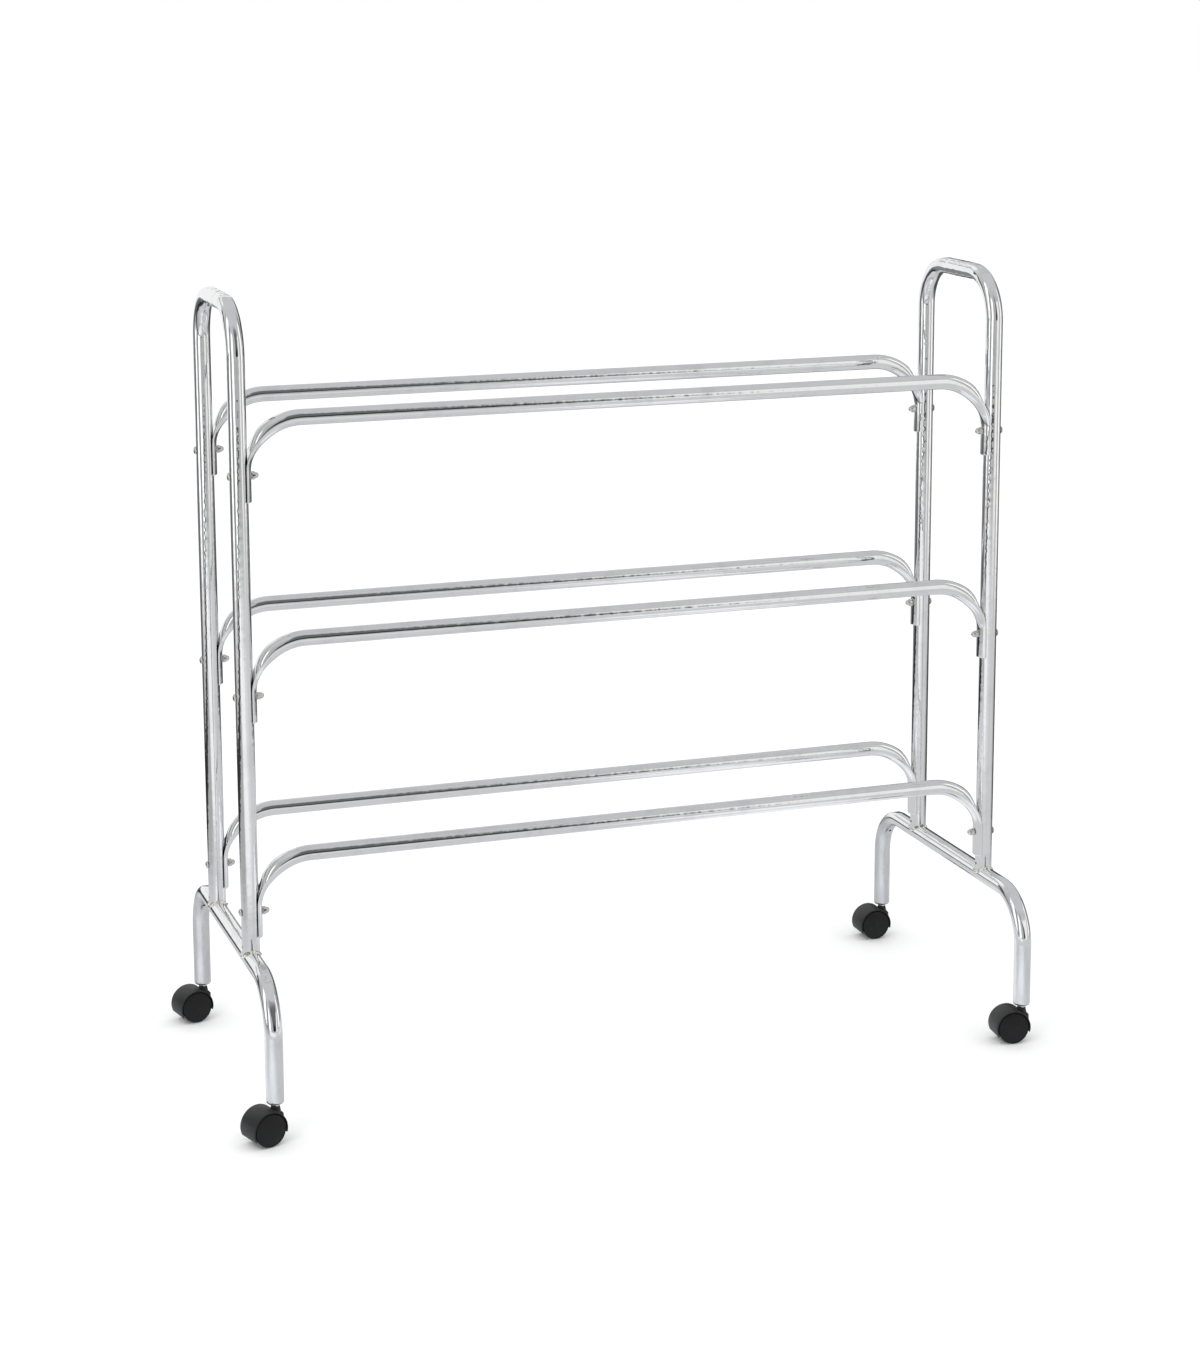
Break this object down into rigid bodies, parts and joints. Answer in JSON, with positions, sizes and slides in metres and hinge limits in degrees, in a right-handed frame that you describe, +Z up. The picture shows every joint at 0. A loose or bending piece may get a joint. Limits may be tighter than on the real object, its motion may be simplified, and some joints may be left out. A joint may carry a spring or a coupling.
{
  "type": "ball storage rack",
  "caption": "Wheeled storage rack of chromed steel tube: two hooped end frames on bent foot tubes carry paired rails on three levels, on swivelling twin-wheel casters.",
  "frame": {"origin": "on the floor, under the middle of the outer box, with the casters standing as in the picture", "axes": "+X runs along the rails from the left end frame to the right one, +Y from the front rails to the rear ones, +Z up"},
  "size_m": [1.1891, 0.5497, 1.134],
  "materials": {
    "chromed_tube": "polished",
    "chromed_rail": "polished",
    "zinc_bolt": "satin",
    "plated_cap_nut": "satin",
    "black_nylon_hood": "satin",
    "black_nylon_wheel": "satin",
    "bright_steel": "bright",
    "dark_steel_axle": "plain",
    "pressed_steel_socket": "plain"
  },
  "bodies": {
    "rack_frame": {"left_foot_tube": "chromed_tube", "left_hoop": "chromed_tube", "right_foot_tube": "chromed_tube", "right_hoop": "chromed_tube", "front_bottom_rail": "chromed_rail", "front_middle_rail": "chromed_rail", "front_top_rail": "chromed_rail", "rear_bottom_rail": "chromed_rail", "rear_middle_rail": "chromed_rail", "rear_top_rail": "chromed_rail", "bolt_left_front_bottom": "zinc_bolt", "cap_nut_left_front_bottom": "plated_cap_nut", "bolt_left_front_middle": "zinc_bolt", "cap_nut_left_front_middle": "plated_cap_nut", "bolt_left_front_top": "zinc_bolt", "cap_nut_left_front_top": "plated_cap_nut", "bolt_left_rear_bottom": "zinc_bolt", "cap_nut_left_rear_bottom": "plated_cap_nut", "bolt_left_rear_middle": "zinc_bolt", "cap_nut_left_rear_middle": "plated_cap_nut", "bolt_left_rear_top": "zinc_bolt", "cap_nut_left_rear_top": "plated_cap_nut", "bolt_right_front_bottom": "zinc_bolt", "cap_nut_right_front_bottom": "plated_cap_nut", "bolt_right_front_middle": "zinc_bolt", "cap_nut_right_front_middle": "plated_cap_nut", "bolt_right_front_top": "zinc_bolt", "cap_nut_right_front_top": "plated_cap_nut", "bolt_right_rear_bottom": "zinc_bolt", "cap_nut_right_rear_bottom": "plated_cap_nut", "bolt_right_rear_middle": "zinc_bolt", "cap_nut_right_rear_middle": "plated_cap_nut", "bolt_right_rear_top": "zinc_bolt", "cap_nut_right_rear_top": "plated_cap_nut", "front_left_caster_socket": "pressed_steel_socket", "front_left_caster_stem": "bright_steel", "rear_left_caster_socket": "pressed_steel_socket", "rear_left_caster_stem": "bright_steel", "front_right_caster_socket": "pressed_steel_socket", "front_right_caster_stem": "bright_steel", "rear_right_caster_socket": "pressed_steel_socket", "rear_right_caster_stem": "bright_steel"},
    "front_left_swivel": {"front_left_caster_hood": "black_nylon_hood", "front_left_caster_axle": "dark_steel_axle"},
    "front_left_front_wheel": {"front_left_caster_front_wheel": "black_nylon_wheel"},
    "front_left_rear_wheel": {"front_left_caster_rear_wheel": "black_nylon_wheel"},
    "rear_left_swivel": {"rear_left_caster_hood": "black_nylon_hood", "rear_left_caster_axle": "dark_steel_axle"},
    "rear_left_front_wheel": {"rear_left_caster_front_wheel": "black_nylon_wheel"},
    "rear_left_rear_wheel": {"rear_left_caster_rear_wheel": "black_nylon_wheel"},
    "front_right_swivel": {"front_right_caster_hood": "black_nylon_hood", "front_right_caster_axle": "dark_steel_axle"},
    "front_right_front_wheel": {"front_right_caster_front_wheel": "black_nylon_wheel"},
    "front_right_rear_wheel": {"front_right_caster_rear_wheel": "black_nylon_wheel"},
    "rear_right_swivel": {"rear_right_caster_hood": "black_nylon_hood", "rear_right_caster_axle": "dark_steel_axle"},
    "rear_right_front_wheel": {"rear_right_caster_front_wheel": "black_nylon_wheel"},
    "rear_right_rear_wheel": {"rear_right_caster_rear_wheel": "black_nylon_wheel"}
  },
  "joints": [
    {"name": "front_left_swivel", "type": "hinge", "parent": "rack_frame", "child": "front_left_swivel", "pos_m": [-0.54633, -0.24232, 0.02354], "axis": [0, 0, 1], "continuous": true},
    {"name": "front_left_front_wheel_spin", "type": "hinge", "parent": "front_left_swivel", "child": "front_left_front_wheel", "pos_m": [-0.55937, -0.26044, 0.02354], "axis": [-0.309, 0.9511, 0], "continuous": true},
    {"name": "front_left_rear_wheel_spin", "type": "hinge", "parent": "front_left_swivel", "child": "front_left_rear_wheel", "pos_m": [-0.56753, -0.23533, 0.02354], "axis": [-0.309, 0.9511, 0], "continuous": true},
    {"name": "rear_left_swivel", "type": "hinge", "parent": "rack_frame", "child": "rear_left_swivel", "pos_m": [-0.54633, 0.25368, 0.02354], "axis": [0, 0, 1], "continuous": true},
    {"name": "rear_left_front_wheel_spin", "type": "hinge", "parent": "rear_left_swivel", "child": "rear_left_front_wheel", "pos_m": [-0.5609, 0.23677, 0.02354], "axis": [-0.225, 0.9744, 0], "continuous": true},
    {"name": "rear_left_rear_wheel_spin", "type": "hinge", "parent": "rear_left_swivel", "child": "rear_left_rear_wheel", "pos_m": [-0.56684, 0.26249, 0.02354], "axis": [-0.225, 0.9744, 0], "continuous": true},
    {"name": "front_right_swivel", "type": "hinge", "parent": "rack_frame", "child": "front_right_swivel", "pos_m": [0.57867, -0.24232, 0.02354], "axis": [0, 0, 1], "continuous": true},
    {"name": "front_right_front_wheel_spin", "type": "hinge", "parent": "front_right_swivel", "child": "front_right_front_wheel", "pos_m": [0.55939, -0.25357, 0.02354], "axis": [0.1045, 0.9945, 0], "continuous": true},
    {"name": "front_right_rear_wheel_spin", "type": "hinge", "parent": "front_right_swivel", "child": "front_right_rear_wheel", "pos_m": [0.56215, -0.22731, 0.02354], "axis": [0.1045, 0.9945, 0], "continuous": true},
    {"name": "rear_right_swivel", "type": "hinge", "parent": "rack_frame", "child": "rear_right_swivel", "pos_m": [0.57867, 0.25368, 0.02354], "axis": [0, 0, 1], "continuous": true},
    {"name": "rear_right_front_wheel_spin", "type": "hinge", "parent": "rear_right_swivel", "child": "rear_right_front_wheel", "pos_m": [0.56067, 0.24048, 0.02354], "axis": [0, 1, 0], "continuous": true},
    {"name": "rear_right_rear_wheel_spin", "type": "hinge", "parent": "rear_right_swivel", "child": "rear_right_rear_wheel", "pos_m": [0.56067, 0.26688, 0.02354], "axis": [0, 1, 0], "continuous": true}
  ]
}
